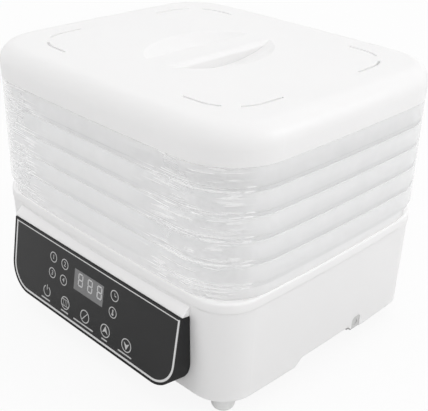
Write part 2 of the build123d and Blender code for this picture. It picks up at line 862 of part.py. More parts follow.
def face_box(x, drop, wide, tall, near, far):
    """A block square to the face, between two depths behind it."""
    return face * Pos(x, -drop, -(near + far) / 2) * Box(wide, tall, far - near)


panel_back = panel_sink + panel_thickness
inner_face = panel_back + console_wall
display_near = panel_back + display_gap
led_near = panel_back + led_gap
board_front = display_near + display_depth
board_back = board_front + board_thickness
button_places = [button_x + (i - (button_count - 1) / 2) * button_pitch for i in range(button_count)]
led_places = [(x, drop) for x in program_x + (lamp_x,) for drop in lamp_drops]
board_screw_x = board_width / 2 - board_screw_margin
board_screw_y = board_height / 2 - board_screw_margin
board_points = [(x, board_drop + y) for x, y in corners(board_screw_x, board_screw_y)]


def make_console():
    filled = face_block(0, 0, console_reach)
    shell = filled - face_block(console_wall, inner_face, console_reach)
    pad_near = depth / 2 - base_inset - console_pad_inset
    for x, drop in console_screw_places():
        shell = shell + (wall_axis(x, drop, depth, pad_near, console_boss_radius) & filled)
    shell = shell - base_block(console_gap)
    for x, drop in board_points:
        shell = shell + face_post(x, drop, board_boss_radius, inner_face, board_front)
    for x, drop in board_points:
        shell = shell - face_post(x, drop, screw_radius + thread_clearance, inner_face, board_front)
    for x, drop in console_screw_places():
        far = depth / 2 - base_inset + console_proud / 2
        shell = shell - wall_axis(x, drop, far, pad_near, screw_radius + thread_clearance)
    shell = shell - face_block(panel_border - panel_clearance, 0, panel_back)
    room_x = display_width + 2 * hole_clearance
    room_y = display_height + 2 * hole_clearance
    shell = shell - face_box(display_x, display_drop, room_x, room_y, panel_back, inner_face)
    for x in button_places:
        shell = shell - face_post(x, button_drop, foam_radius + hole_clearance, panel_back, inner_face)
    for x, drop in led_places:
        shell = shell - face_post(x, drop, led_radius + hole_clearance, panel_back, inner_face)
    return shell


parts["console_housing"] = make_console()
parts["control_panel"] = face_block(panel_border, panel_sink, panel_back)


def make_control_board():
    board = face_box(0, board_drop, board_width, board_height, board_front, board_back)
    for x, drop in board_points:
        board = board - face_post(x, drop, screw_radius + hole_clearance, board_front, board_back)
    return board


parts["control_board"] = make_control_board()
parts["display_module"] = face_box(
    display_x, display_drop, display_width, display_height, display_near, board_front
)
parts["indicator_leds"] = group(
    face_post(x, drop, led_radius, led_near, board_front) for x, drop in led_places
)
parts["touch_foams"] = group(
    face_post(x, button_drop, foam_radius, panel_back, board_front) for x in button_places
)
board_screw = screw(board_thickness + board_front - inner_face)
parts["control_board_screws"] = group(
    face * Pos(x, -drop, -board_back) * Rot(180, 0, 0) * board_screw for x, drop in board_points
)
console_pad_y = depth / 2 - base_inset - console_pad_inset
console_screw = screw(console_pad_inset + console_proud / 2)
parts["console_screws"] = group(
    Pos(x, -console_pad_y, console_top - drop) * Rot(-90, 0, 0) * console_screw
    for x, drop in console_screw_places()
)

# One STEP file for each node, moved so that the whole box is centred front to back
os.makedirs("parts", exist_ok=True)
for name, solid in parts.items():
    export_step(Pos(0, centre_shift, 0) * solid, f"parts/{name}.step")
print(f"{len(parts)} nodes, {width:.0f} x {depth / 2 + front_reach:.1f} x {lid_top:.1f} mm")
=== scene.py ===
# %% [markdown]
# # A square food dehydrator
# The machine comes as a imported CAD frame: a white fan base, five clear trays and a white lid, all in
# metres. This lesson adds what CAD leaves out: the studio, the finishes and the print on the touch
# panel. Each step says what the real thing is, how it could be made, and why it is made this way here.

# %% Load the frame
import json
from math import cos, pi, radians, sin

import bpy
from mathutils import Matrix, Vector


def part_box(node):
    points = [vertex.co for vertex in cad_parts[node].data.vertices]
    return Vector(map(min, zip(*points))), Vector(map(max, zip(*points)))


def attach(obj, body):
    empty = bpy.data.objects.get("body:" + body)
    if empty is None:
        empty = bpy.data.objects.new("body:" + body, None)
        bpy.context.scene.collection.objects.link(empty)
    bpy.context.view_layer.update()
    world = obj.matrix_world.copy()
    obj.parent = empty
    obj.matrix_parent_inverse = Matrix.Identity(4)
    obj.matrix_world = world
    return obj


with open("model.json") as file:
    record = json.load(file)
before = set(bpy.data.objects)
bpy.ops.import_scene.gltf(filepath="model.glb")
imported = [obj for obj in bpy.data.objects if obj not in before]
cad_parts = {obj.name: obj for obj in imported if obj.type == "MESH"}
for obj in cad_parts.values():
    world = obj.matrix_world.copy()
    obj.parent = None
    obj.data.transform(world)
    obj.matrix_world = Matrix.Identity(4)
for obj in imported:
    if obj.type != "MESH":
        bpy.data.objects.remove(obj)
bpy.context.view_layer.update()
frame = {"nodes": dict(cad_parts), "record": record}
nodes = frame["nodes"]
MM = 0.001

# %% [markdown]
# ## The camera
# The photograph looks down on the machine's near corner with a fairly long lens. The camera could be
# placed by eye, but its place was worked out from the edges of the lid, trays and base, so it is set by
# its azimuth, elevation, roll and position. The axes are built as vectors, which leaves no doubt about
# the order of turns.

# %% Place the camera
CAMERA_AT = Vector((0.4841, -0.4739, 0.4415))
AZIMUTH, ELEVATION, ROLL = radians(44.723), radians(26.979), radians(1.458)
LENS = 69.44

level = Vector((cos(AZIMUTH), sin(AZIMUTH), 0))
away = Vector((sin(AZIMUTH) * cos(ELEVATION), -cos(AZIMUTH) * cos(ELEVATION), sin(ELEVATION)))
upright = away.cross(level)
across = level * cos(ROLL) + upright * sin(ROLL)
above = upright * cos(ROLL) - level * sin(ROLL)

camera_data = bpy.data.cameras.new("studio_camera")
camera_data.sensor_fit = "HORIZONTAL"
camera_data.sensor_width = 36
camera_data.lens = LENS
camera_data.clip_start = 0.01
camera = bpy.data.objects.new("studio_camera", camera_data)
bpy.context.collection.objects.link(camera)
turn = Matrix((across, above, away)).transposed().to_4x4()
camera.matrix_world = Matrix.Translation(CAMERA_AT) @ turn
bpy.context.scene.camera = camera
print("camera", [round(v, 3) for v in CAMERA_AT], "lens", LENS)

# %% [markdown]
# ## The studio
# A high-key studio: a white floor that runs out of sight and light from all round, a little brighter
# overhead. Many lamps could do it, but a sky that fades from the zenith to the horizon lights
# everything evenly and leaves no edge. One large soft box behind the right shoulder shapes the machine:
# it brightens the right wall and leaves the near corner and the front a little darker. Where the sky
# itself is seen past the floor, it is as white as the floor.

# %% Floor, sky and soft box
scene = bpy.context.scene
scene.view_settings.view_transform = "Standard"
scene.view_settings.look = "None"


def deselect():
    """Leaves nothing selected, so that an operator works on the new piece alone."""
    if bpy.context.object and bpy.context.object.mode != "OBJECT":
        bpy.ops.object.mode_set(mode="OBJECT")
    bpy.ops.object.select_all(action="DESELECT")


FLOOR_SIZE = 8
MACHINE_MIDDLE = Vector((0, 0, 0.12))

deselect()
bpy.ops.mesh.primitive_plane_add(size=FLOOR_SIZE, location=(0, 0, 0))
floor = bpy.context.object
floor.name = "studio_floor"

ZENITH, HORIZON, BACKDROP = 1.14, 0.87, 0.98
sky = bpy.data.worlds.new("studio_sky")
sky.use_nodes = True
sky_tree = sky.node_tree
direction = sky_tree.nodes.new("ShaderNodeTexCoord")
height = sky_tree.nodes.new("ShaderNodeSeparateXYZ")
fade = sky_tree.nodes.new("ShaderNodeMapRange")
fade.inputs["To Min"].default_value = HORIZON
fade.inputs["To Max"].default_value = ZENITH
sky_tree.links.new(direction.outputs["Generated"], height.inputs["Vector"])
sky_tree.links.new(height.outputs["Z"], fade.inputs["Value"])
seen = sky_tree.nodes.new("ShaderNodeLightPath")
strength = sky_tree.nodes.new("ShaderNodeMix")
strength.inputs["B"].default_value = BACKDROP
sky_tree.links.new(seen.outputs["Is Camera Ray"], strength.inputs["Factor"])
sky_tree.links.new(fade.outputs["Result"], strength.inputs["A"])
sky_tree.links.new(strength.outputs["Result"], sky_tree.nodes["Background"].inputs["Strength"])
sky_tree.nodes["Background"].inputs["Color"].default_value = (1.0, 1.0, 1.0, 1)
scene.world = sky


def soft_box(name, at, size, power):
    """A square area lamp that faces the middle of the machine."""
    lamp = bpy.data.lights.new(name, "AREA")
    lamp.size = size
    lamp.energy = power
    holder = bpy.data.objects.new(name, lamp)
    bpy.context.collection.objects.link(holder)
    aim = MACHINE_MIDDLE - Vector(at)
    holder.matrix_world = Matrix.Translation(at) @ aim.to_track_quat("-Z", "Y").to_matrix().to_4x4()


soft_box("key_light", at=(1.8, 1.2, 1.2), size=1.0, power=10.3)
print("sky and soft box set")

# %% [markdown]
# ## Shared effects
# Moulded plastic is never one flat colour: the tone drifts a little over a hand's breadth, the gloss is
# uneven, and the skin has a fine grain from the mould. The same three effects serve every plastic and
# rubber piece, so they are one node group with its own values in each material. Object coordinates are
# in metres here, because every piece keeps its place in its mesh, so a noise scale of 1000 is one
# ripple a millimetre.

# %% Build the moulded-skin group
COLOUR_A, COLOUR_B, COLOUR_OUT = 6, 7, 2  # a Mix node's colour sockets


def new_group(name, numbers, colours, outputs):
    """A shader node group with named inputs and outputs."""
    group = bpy.data.node_groups.new(name, "ShaderNodeTree")
    for label, value in colours.items():
        socket = group.interface.new_socket(label, in_out="INPUT", socket_type="NodeSocketColor")
        socket.default_value = value
    for label, value in numbers.items():
        socket = group.interface.new_socket(label, in_out="INPUT", socket_type="NodeSocketFloat")
        socket.default_value = value
    for label, kind in outputs.items():
        group.interface.new_socket(label, in_out="OUTPUT", socket_type=kind)
    return group, group.nodes.new("NodeGroupInput"), group.nodes.new("NodeGroupOutput")


def add_node(tree, kind, **values):
    """A node with plain values set on its properties or its inputs."""
    node = tree.nodes.new(kind)
    for key, value in values.items():
        if key in node.inputs:
            node.inputs[key].default_value = value
        else:
            setattr(node, key, value)
    return node


def feed(tree, socket, term):
    """Sets a socket to a number, or links it to another socket."""
    if isinstance(term, (int, float)):
        socket.default_value = term
    else:
        tree.links.new(term, socket)


def noise(tree, place, scale, detail):
    """A noise texture on a coordinate; scale is a number or a socket."""
    node = add_node(tree, "ShaderNodeTexNoise", Detail=detail)
    tree.links.new(place, node.inputs["Vector"])
    feed(tree, node.inputs["Scale"], scale)
    return node.outputs["Fac"]


def maths(tree, operation, *terms):
    """One Math node; each term is a number or a socket."""
    node = add_node(tree, "ShaderNodeMath", operation=operation)
    for slot, term in enumerate(terms):
        feed(tree, node.inputs[slot], term)
    return node.outputs[0]


def sway(tree, value, middle, spread):
    """middle + spread * (2 * value - 1); middle and spread are numbers or sockets."""
    centred = maths(tree, "MULTIPLY_ADD", value, 2, -1)
    return maths(tree, "MULTIPLY_ADD", centred, spread, middle)


def shaded(tree, color, brightness):
    """A colour multiplied by a brightness."""
    grey = tree.nodes.new("ShaderNodeCombineColor")
    for channel in ("Red", "Green", "Blue"):
        tree.links.new(brightness, grey.inputs[channel])
    tint = add_node(tree, "ShaderNodeMix", data_type="RGBA", blend_type="MULTIPLY")
    tint.inputs["Factor"].default_value = 1
    tree.links.new(color, tint.inputs[COLOUR_A])
    tree.links.new(grey.outputs[0], tint.inputs[COLOUR_B])
    return tint.outputs[COLOUR_OUT]


def moulded_skin():
    """Colour drift, uneven gloss and a fine mould grain."""
    group, given, result = new_group(
        "moulded_skin",
        {"Drift": 0.03, "Roughness": 0.35, "Unevenness": 0.06, "Grain Scale": 1400.0},
        {"Color": (0.8, 0.8, 0.8, 1)},
        {"Color": "NodeSocketColor", "Roughness": "NodeSocketFloat", "Grain": "NodeSocketFloat"},
    )
    place = group.nodes.new("ShaderNodeTexCoord").outputs["Object"]
    broad = noise(group, place, 22, 3)
    brightness = sway(group, broad, 1.0, given.outputs["Drift"])
    patches = noise(group, place, 60, 4)
    gloss = sway(group, patches, given.outputs["Roughness"], given.outputs["Unevenness"])
    fine = noise(group, place, given.outputs["Grain Scale"], 1)
    group.links.new(shaded(group, given.outputs["Color"], brightness), result.inputs["Color"])
    group.links.new(gloss, result.inputs["Roughness"])
    group.links.new(fine, result.inputs["Grain"])
    return group


SKIN = moulded_skin()
print("group", SKIN.name, "made")

# %% [markdown]
# ## Finishes for the plastics
# The lid and base are white moulded plastic with a satin skin, the console is black, the feet are pale
# rubber. White plastic lets a little light in under its skin, which softens the vents, the grip and the
# ledges. Each finish is a Principled shader: what varies comes from the moulded-skin group, what is the
# same all over is set on the shader itself, so that the finish survives an export.

# %% Make the moulded finishes
def group_material(name, group, values, depth, fixed):
    """A Principled finish fed by an effect group; fixed holds plain values for the shader's own sockets."""
    material = bpy.data.materials.new(name)
    material.use_nodes = True
    tree = material.node_tree
    shader = tree.nodes["Principled BSDF"]
    effect = tree.nodes.new("ShaderNodeGroup")
    effect.node_tree = group
    for label, value in values.items():
        effect.inputs[label].default_value = value
    bump = add_node(tree, "ShaderNodeBump", Strength=depth, Distance=MM)
    tree.links.new(effect.outputs["Color"], shader.inputs["Base Color"])
    tree.links.new(effect.outputs["Roughness"], shader.inputs["Roughness"])
    tree.links.new(effect.outputs["Grain"], bump.inputs["Height"])
    tree.links.new(bump.outputs["Normal"], shader.inputs["Normal"])
    for label, value in fixed.items():
        shader.inputs[label.replace("_", " ")].default_value = value
    return material


def skin_material(name, color, rough, drift=0.02, uneven=0.05, grain=1400, depth=0.02, **fixed):
    """A moulded finish from the moulded-skin group."""
    values = {"Color": (*color, 1), "Roughness": rough, "Drift": drift, "Unevenness": uneven}
    values["Grain Scale"] = grain
    return group_material(name, SKIN, values, depth, fixed)


MOULDED = {
    "white_plastic": dict(color=(0.81, 0.805, 0.805), rough=0.36, drift=0.01, Subsurface_Weight=0.6,
                          Subsurface_Radius=(1, 1, 1), Subsurface_Scale=0.006),
    "pale_rubber": dict(color=(0.75, 0.75, 0.745), rough=0.6, uneven=0.08, grain=2500, depth=0.05),
    "grey_rubber": dict(color=(0.55, 0.55, 0.545), rough=0.6, drift=0.03, uneven=0.08, grain=2500,
                        depth=0.06),
    "black_plastic": dict(color=(0.03, 0.03, 0.0305), rough=0.6, drift=0.1, uneven=0.08,
                          Specular_IOR_Level=0.05),
    "panel_gloss": dict(color=(0.008, 0.008, 0.0085), rough=0.3, drift=0.06, grain=900, depth=0.004,
                        Specular_IOR_Level=0.37),
    "lamp_lens": dict(color=(0.8, 0.8, 0.78), rough=0.2, drift=0.03),
    "dark_foam": dict(color=(0.02, 0.02, 0.022), rough=0.9, drift=0.3, grain=3000, depth=0.3),
    "board_green": dict(color=(0.015, 0.11, 0.045), rough=0.35, drift=0.15, uneven=0.1, grain=700,
                        depth=0.03),
    "dark_plastic": dict(color=(0.02, 0.02, 0.022), rough=0.45, drift=0.12, uneven=0.08),
    "terminal_plastic": dict(color=(0.03, 0.16, 0.06), rough=0.4, drift=0.08, uneven=0.06),
    "heater_ceramic": dict(color=(0.75, 0.72, 0.64), rough=0.6, drift=0.06, uneven=0.1, grain=2200,
                           depth=0.05),
    "display_lens": dict(color=(0.2, 0.2, 0.205), rough=0.25, drift=0.05),
}
finishes = {name: skin_material(name, **values) for name, values in MOULDED.items()}
print(len(finishes), "moulded finishes")

# %% [markdown]
# ## Paper for the floor
# Studio paper is white, but under a bright object it still shows a shadow, and what it throws back
# lightens the object's lower half. A brighter lamp could wash the shadow out, but it would burn out the
# lid first. So the paper glows for the camera alone, which leaves only a faint shadow, and every other
# ray meets a plain pale paper.

# %% Make the floor's paper
def floor_material(albedo, glow):
    """Pale paper that glows for the camera, by the given share."""
    paper = (albedo, albedo, albedo)
    material = skin_material("floor_paper", paper, rough=0.9, drift=0.002, uneven=0.03, grain=900, depth=0.01)
    tree = material.node_tree
    lit = add_node(tree, "ShaderNodeEmission", Strength=1.0)
    ray = tree.nodes.new("ShaderNodeLightPath")
    blend = tree.nodes.new("ShaderNodeMixShader")
    tree.links.new(maths(tree, "MULTIPLY", ray.outputs["Is Camera Ray"], glow), blend.inputs["Fac"])
    tree.links.new(tree.nodes["Principled BSDF"].outputs["BSDF"], blend.inputs[1])
    tree.links.new(lit.outputs["Emission"], blend.inputs[2])
    tree.links.new(blend.outputs["Shader"], tree.nodes["Material Output"].inputs["Surface"])
    return material


floor.data.materials.append(floor_material(albedo=0.75, glow=0.9))
print("floor paper made")

# %% [markdown]
# ## Clear trays
# The trays are clear polystyrene with a milky haze: pale walls, soft grey bands of shade where one tray
# stands on the next, and clearer corners. Refracting glass could make them, but five nested trays bend and
# swallow so much light that the stack goes dark. A haze that is partly see-through, under a glossy coat,
# works from every
# side. The haze is one group: it finds out from the place on the tray how near a corner is, and how near the
# step at the tray's foot, the places where the finish paints shade.

# %% Build the haze group
tray_low, tray_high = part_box("tray_1")
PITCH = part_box("tray_2")[1].z - tray_high.z
STACK_Y = (tray_low.y + tray_high.y) / 2
SEAT = tray_high.z - PITCH
CORNER_X, CORNER_Y = (0.035, 0.095), (0.094, 0.121)  # where a wall starts to clear and where it is clear
# Between the heights below, the painted shade in the step at a tray's foot fades out.
STEP_FADE = (0.003, 0.0065)  # heights over a tray's foot between which its grey band ends


def ramp(tree, value, start, end, low=0.0, high=1.0):
    """A smooth step from low to high while the value goes from start to end."""
    node = add_node(tree, "ShaderNodeMapRange", interpolation_type="SMOOTHSTEP")
    tree.links.new(value, node.inputs["Value"])
    for label, term in (("From Min", start), ("From Max", end), ("To Min", low), ("To Max", high)):
        feed(tree, node.inputs[label], term)
    return node.outputs["Result"]


def tray_place(group, given):
    """The coordinate itself, how far out it lies each way, and its height over the foot of its tray."""
    place = group.nodes.new("ShaderNodeTexCoord").outputs["Object"]
    parts = group.nodes.new("ShaderNodeSeparateXYZ")
    group.links.new(place, parts.inputs["Vector"])
    out_x = maths(group, "ABSOLUTE", parts.outputs["X"])
    out_y = maths(group, "ABSOLUTE", maths(group, "SUBTRACT", parts.outputs["Y"], given.outputs["Stack Y"]))
    above_seat = maths(group, "SUBTRACT", parts.outputs["Z"], given.outputs["Seat"])
    height = maths(group, "FLOORED_MODULO", above_seat, given.outputs["Pitch"])
    return place, out_x, out_y, height


def tray_haze():
    """How opaque a clear wall is, how near a corner lies, and how near the step at a tray's foot; the last
    two mask painted shade.
    """
    group, given, result = new_group(
        "tray_haze",
        {"Flat Haze": 0.55, "Corner Haze": 0.33, "Stack Y": STACK_Y, "Seat": SEAT, "Pitch": PITCH},
        {},
        {"Haze": "NodeSocketFloat", "Corner": "NodeSocketFloat", "Step": "NodeSocketFloat"},
    )
    place, out_x, out_y, height = tray_place(group, given)
    corner = maths(group, "MULTIPLY", ramp(group, out_x, *CORNER_X), ramp(group, out_y, *CORNER_Y))
    flat = ramp(group, corner, 0.0, 1.0, given.outputs["Flat Haze"], given.outputs["Corner Haze"])
    uneven = sway(group, noise(group, place, 35, 3), flat, 0.06)
    group.links.new(uneven, result.inputs["Haze"])
    group.links.new(corner, result.inputs["Corner"])
    # Step masks the painted shade in the step at a tray's foot.
    group.links.new(ramp(group, height, *STEP_FADE, 1.0, 0.0), result.inputs["Step"])
    return group


HAZE = tray_haze()
print("group", HAZE.name, "made, pitch", round(PITCH / MM, 1), "seat", round(SEAT / MM, 1))

# %% [markdown]
# ## Painted highlights on the trays' edges
# At the clear corners the tray's foot, its step and the bars of its floor show as short bright dashes of
# light. Thousands of small bevels could catch real highlights, but they would be gone from any other angle.
# So the highlights are painted into the colour and the haze instead: a group draws two thin lines in each
# tray's height, and a noise stretched along the wall that breaks them up and scatters more between them.
# In the middle of each bend the lines stay whole.

# %% Build the painted-highlight group
DASH_STRETCH, DASH_SCALE, SCATTER_SCALE = 13, 40, 42
BEND_Y, BEND_FADE, BEND_X = 0.1045, (0.0015, 0.006), (0.13, 0.14)  # the middle of a bend, and how it ends


def edge_light():
    """Painted highlights: bright broken lines along a tray's foot and step, near the corners."""
    group, given, result = new_group(
        "edge_light",
        {"Corner": 1.0, "Stack Y": STACK_Y, "Seat": SEAT, "Pitch": PITCH,
         "Foot Line": 0.0004, "Step Line": 0.0046, "Width": 0.0013},
        {},
        {"Glint": "NodeSocketFloat"},
    )
    place, out_x, out_y, height = tray_place(group, given)
    lines = []
    for label in ("Foot Line", "Step Line"):
        off = maths(group, "ABSOLUTE", maths(group, "SUBTRACT", height, given.outputs[label]))
        lines.append(ramp(group, off, 0.0, given.outputs["Width"], 1.0, 0.0))
    line = maths(group, "MAXIMUM", *lines)
    long = add_node(group, "ShaderNodeMapping", Scale=(1, 1, DASH_STRETCH))
    group.links.new(place, long.inputs["Vector"])
    broken = ramp(group, noise(group, long.outputs["Vector"], DASH_SCALE, 0), 0.46, 0.52)
    scattered = ramp(group, noise(group, long.outputs["Vector"], SCATTER_SCALE, 0), 0.64, 0.7, 0.0, 0.8)
    dashes = maths(group, "MAXIMUM", maths(group, "MULTIPLY", line, broken), scattered)
    aside = maths(group, "ABSOLUTE", maths(group, "SUBTRACT", out_y, BEND_Y))
    bend = maths(group, "MULTIPLY", ramp(group, aside, *BEND_FADE, 1.0, 0.0), ramp(group, out_x, *BEND_X))
    steady = maths(group, "MULTIPLY", line, bend)
    glint = maths(group, "MAXIMUM", maths(group, "MULTIPLY", dashes, given.outputs["Corner"]), steady)
    group.links.new(glint, result.inputs["Glint"])
    return group


PAINTED_HIGHLIGHTS = edge_light()
print("group", PAINTED_HIGHLIGHTS.name, "made")

# %% [markdown]
# ## The clear finish
# Milky plastic is lit from both sides: some light bounces off its face and some comes through from
# behind. So the finish mixes a Principled shader with a Translucent one. Shade is painted into the colour at
# the step at each tray's foot and at the clear corners, which makes them a little greyer, and the painted
# highlights of the edge group lift both the colour and the haze. The trays, the lid and the deck cast no
# shadow
# into the stack: real light gets in through every wall, and a few bounces can't follow it there.

# %% Make the clear finish
# The grey is painted shade for each tray's step and clear corners; the white is painted highlight.
STEP_SHADE_GREY, HIGHLIGHT_PAINT_WHITE = (0.86, 0.86, 0.862, 1), (0.99, 0.99, 0.99, 1)
HIGHLIGHT_PAINT_OPACITY, MILK_SHARE = 0.9, 0.3


def clear_material(name, color, behind, rough):
    """A milky clear plastic with a glossy coat, lit from both sides."""
    material = skin_material(name, color, rough, drift=0.01, uneven=0.06, grain=90, depth=0.015,
                             Coat_Weight=1.0, Coat_Roughness=0.05)
    tree = material.node_tree
    shader = tree.nodes["Principled BSDF"]
    skin = next(node for node in tree.nodes if node.type == "GROUP")
    haze = tree.nodes.new("ShaderNodeGroup")
    haze.node_tree = HAZE
    highlight_group = tree.nodes.new("ShaderNodeGroup")
    highlight_group.node_tree = PAINTED_HIGHLIGHTS
    tree.links.new(haze.outputs["Corner"], highlight_group.inputs["Corner"])
    # Painted shade: the step and the corners are greyed.
    grey = add_node(tree, "ShaderNodeMix", data_type="RGBA", blend_type="MULTIPLY")
    grey.inputs[COLOUR_B].default_value = STEP_SHADE_GREY
    # Painted highlights: the glint lifts the colour towards white.
    highlight_mix = add_node(tree, "ShaderNodeMix", data_type="RGBA")
    highlight_mix.inputs[COLOUR_B].default_value = HIGHLIGHT_PAINT_WHITE
    painted_shade_mask = maths(tree, "MAXIMUM", haze.outputs["Step"], haze.outputs["Corner"])
    tree.links.new(painted_shade_mask, grey.inputs["Factor"])
    tree.links.new(skin.outputs["Color"], grey.inputs[COLOUR_A])
    tree.links.new(highlight_group.outputs["Glint"], highlight_mix.inputs["Factor"])
    tree.links.new(grey.outputs[COLOUR_OUT], highlight_mix.inputs[COLOUR_A])
    tree.links.new(highlight_mix.outputs[COLOUR_OUT], shader.inputs["Base Color"])
    # The painted highlights also make the wall more opaque.
    edge = maths(tree, "MULTIPLY", highlight_group.outputs["Glint"], HIGHLIGHT_PAINT_OPACITY)
    opaque = maths(tree, "MAXIMUM", haze.outputs["Haze"], edge)
    tree.links.new(opaque, shader.inputs["Alpha"])
    glow = add_node(tree, "ShaderNodeBsdfTranslucent", Color=(behind, behind, behind, 1))
    clear = tree.nodes.new("ShaderNodeBsdfTransparent")
    milk = tree.nodes.new("ShaderNodeMixShader")
    body = add_node(tree, "ShaderNodeMixShader", Fac=MILK_SHARE)
    tree.links.new(opaque, milk.inputs["Fac"])
    tree.links.new(clear.outputs["BSDF"], milk.inputs[1])
    tree.links.new(glow.outputs["BSDF"], milk.inputs[2])
    tree.links.new(shader.outputs["BSDF"], body.inputs[1])
    tree.links.new(milk.outputs["Shader"], body.inputs[2])
    tree.links.new(body.outputs["Shader"], tree.nodes["Material Output"].inputs["Surface"])
    return material


finishes["clear_plastic"] = clear_material("clear_plastic", (0.8, 0.801, 0.805), behind=0.88, rough=0.35)
for name in ("tray_1", "tray_2", "tray_3", "tray_4", "tray_5", "lid", "base_deck"):
    nodes[name].visible_shadow = False
print("clear plastic made")

# %% [markdown]
# ## Metals inside the base
# The motor, duct and screws are plated steel, the bearings brass. They are out of sight, but anyone who
# lifts the trays or turns the machine over meets them. Rolled sheet has fine streaks, so the metal
# group stretches its noise.

# %% Make the metal finishes
def rolled_metal():
    """Streaky gloss and slight tarnish."""
    group, given, result = new_group(
        "rolled_metal",
        {"Roughness": 0.3, "Streaks": 0.12, "Tarnish": 0.15},
        {"Color": (0.6, 0.6, 0.6, 1)},
        {"Color": "NodeSocketColor", "Roughness": "NodeSocketFloat", "Grain": "NodeSocketFloat"},
    )
    place = group.nodes.new("ShaderNodeTexCoord").outputs["Object"]
    stretch = add_node(group, "ShaderNodeMapping", Scale=(1, 1, 14))
    group.links.new(place, stretch.inputs["Vector"])
    streaks = noise(group, stretch.outputs["Vector"], 160, 3)
    gloss = sway(group, streaks, given.outputs["Roughness"], given.outputs["Streaks"])
    blotch = noise(group, place, 70, 4)
    brightness = sway(group, blotch, 0.92, given.outputs["Tarnish"])
    group.links.new(shaded(group, given.outputs["Color"], brightness), result.inputs["Color"])
    group.links.new(gloss, result.inputs["Roughness"])
    group.links.new(streaks, result.inputs["Grain"])
    return group


METAL = rolled_metal()


def metal_material(name, color, rough, streaks=0.1, tarnish=0.12):
    """A metal finish from the rolled-metal group."""
    values = {"Color": (*color, 1), "Roughness": rough, "Streaks": streaks, "Tarnish": tarnish}
    return group_material(name, METAL, values, depth=0.05, fixed={"Metallic": 1})


finishes["plated_steel"] = metal_material("plated_steel", (0.62, 0.63, 0.64), 0.32)
finishes["lamination"] = metal_material("lamination", (0.25, 0.25, 0.27), 0.45, streaks=0.15)
finishes["bearing_brass"] = metal_material("bearing_brass", (0.68, 0.5, 0.22), 0.28)
finishes["heater_sheath"] = metal_material("heater_sheath", (0.22, 0.2, 0.19), 0.5, tarnish=0.3)
print(len(finishes), "finishes in all")

# %% Dress the CAD nodes
slot_of = {part["node"]: part["material_slot"] for part in frame["record"]["subparts"]}
for name, node in nodes.items():
    finish = finishes[slot_of[name]]
    if not node.data.materials:
        node.data.materials.append(finish)
    for place in node.material_slots:
        place.material = finish
print("dressed", len(nodes), "nodes")

# %% [markdown]
# ## The touch panel's print
# On such a panel the marks are screen-printed on a dark sheet: a pale line round the edge, a window
# for the digits, rings with small signs for the programmes, the readings and the five keys, and a short
# dash under each key. The print could be painted in the material, but then it would have no edge of its
# own in an export, so every mark is a thin piece as thick as a layer of ink. All of it is drawn flat, x
# to the right and y up from the middle of the console's top edge, and laid on the panel's sloping face
# at the end.

# %% Find the panel's face
SLOPE = radians(8.9)
SHEET = 1.2 * MM
RIM = 1.4 * MM
INK, INK_SUNK = 0.08 * MM, 0.01 * MM
panel_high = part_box("control_panel")[1]
panel_up = Vector((0, sin(SLOPE), cos(SLOPE)))
panel_out = Vector((0, -cos(SLOPE), sin(SLOPE)))
panel_top = Vector((0, panel_high.y - SHEET * cos(SLOPE), panel_high.z)) + panel_up * RIM
face_turn = Matrix((Vector((1, 0, 0)), panel_up, panel_out)).transposed().to_4x4()
PANEL_FACE = Matrix.Translation(panel_top) @ face_turn
print("panel face starts at", [round(v / MM, 1) for v in panel_top])

# %% [markdown]
# ## Tools for drawing a mark
# A few small tools draw every sign, the way it would be done by hand: a flat disc or plane is added at
# its place, its corners are rounded by a bevel, its middle is opened by an inset, and the parts of one
# sign are joined. A Solidify modifier then gives the ink its thickness.

# %% Define the drawing tools
def edit(piece, kind="FACE"):
    """Opens one piece in edit mode with everything selected."""
    deselect()
    piece.select_set(True)
    bpy.context.view_layer.objects.active = piece
    bpy.ops.object.mode_set(mode="EDIT")
    bpy.ops.mesh.select_mode(type=kind)
    bpy.ops.mesh.select_all(action="SELECT")


def pick(piece, kind, test):
    """In edit mode, selects only the vertices or faces whose place passes a test."""
    bpy.ops.mesh.select_all(action="DESELECT")
    bpy.ops.object.mode_set(mode="OBJECT")
    for item in piece.data.vertices if kind == "VERT" else piece.data.polygons:
        item.select = test(item.co if kind == "VERT" else item.center)
    bpy.ops.object.mode_set(mode="EDIT")
    bpy.ops.mesh.select_mode(type=kind)


def disc(x, y, radius, sides=40):
    """A flat disc; x, y and radius in millimetres."""
    deselect()
    bpy.ops.mesh.primitive_circle_add(
        vertices=sides, radius=radius * MM, fill_type="NGON", location=(x * MM, y * MM, 0)
    )
    return bpy.context.object


def hollow(piece, line):
    """Opens the middle of a flat piece and leaves a line round its edge."""
    edit(piece)
    bpy.ops.mesh.inset(thickness=line * MM)
    bpy.ops.mesh.delete(type="FACE")
    bpy.ops.object.mode_set(mode="OBJECT")
    return piece


def bar(x, y, length, height, turn=0.0, corner=0.5, steps=5):
    """A flat bar with rounded or pointed corners; corner is a share of its height."""
    deselect()
    bpy.ops.mesh.primitive_plane_add(size=1, location=(x * MM, y * MM, 0), rotation=(0, 0, turn))
    piece = bpy.context.object
    piece.scale = (length * MM, height * MM, 1)
    bpy.ops.object.transform_apply(location=False, rotation=False, scale=True)
    edit(piece, "VERT")
    bpy.ops.mesh.bevel(affect="VERTICES", offset=height * corner * 0.98 * MM, segments=steps)
    bpy.ops.object.mode_set(mode="OBJECT")
    return piece


def join(pieces):
    """Makes one piece of several flat ones."""
    deselect()
    for piece in pieces:
        piece.select_set(True)
    bpy.context.view_layer.objects.active = pieces[0]
    if len(pieces) > 1:
        bpy.ops.object.join()
    return bpy.context.object


